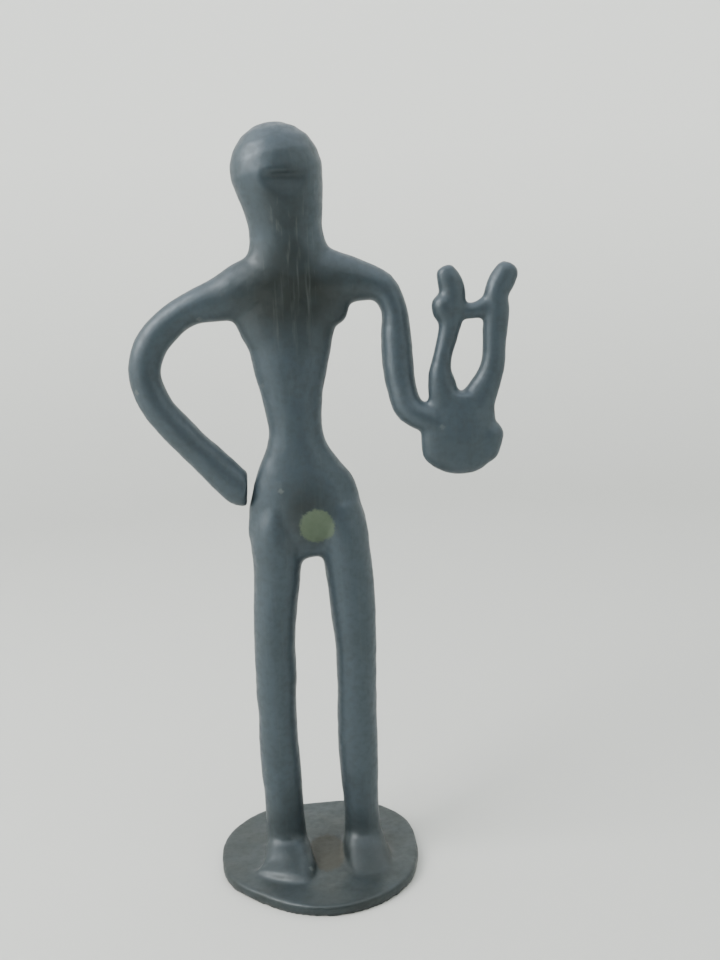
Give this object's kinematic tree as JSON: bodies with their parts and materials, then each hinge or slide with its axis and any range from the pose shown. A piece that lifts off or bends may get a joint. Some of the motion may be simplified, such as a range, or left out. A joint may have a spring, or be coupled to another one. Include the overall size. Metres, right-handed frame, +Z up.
{
  "type": "lyre player statue",
  "caption": "Small cast bronze figure of a slender standing lyre player, hand on hip, on a thin round plate, for display on a shelf or table.",
  "frame": {"origin": "middle of the round plate's flat underside", "axes": "+Z up; the figure faces -Y; its left hand and the lyre are at +X"},
  "size_m": [0.0805, 0.0449, 0.1599],
  "materials": {
    "patinated_bronze": "dark slate blue-green patina on cast bronze, satin, with a small green verdigris patch and worn light edges"
  },
  "bodies": {
    "root": {"lyre_player": "patinated_bronze"}
  },
  "joints": []
}
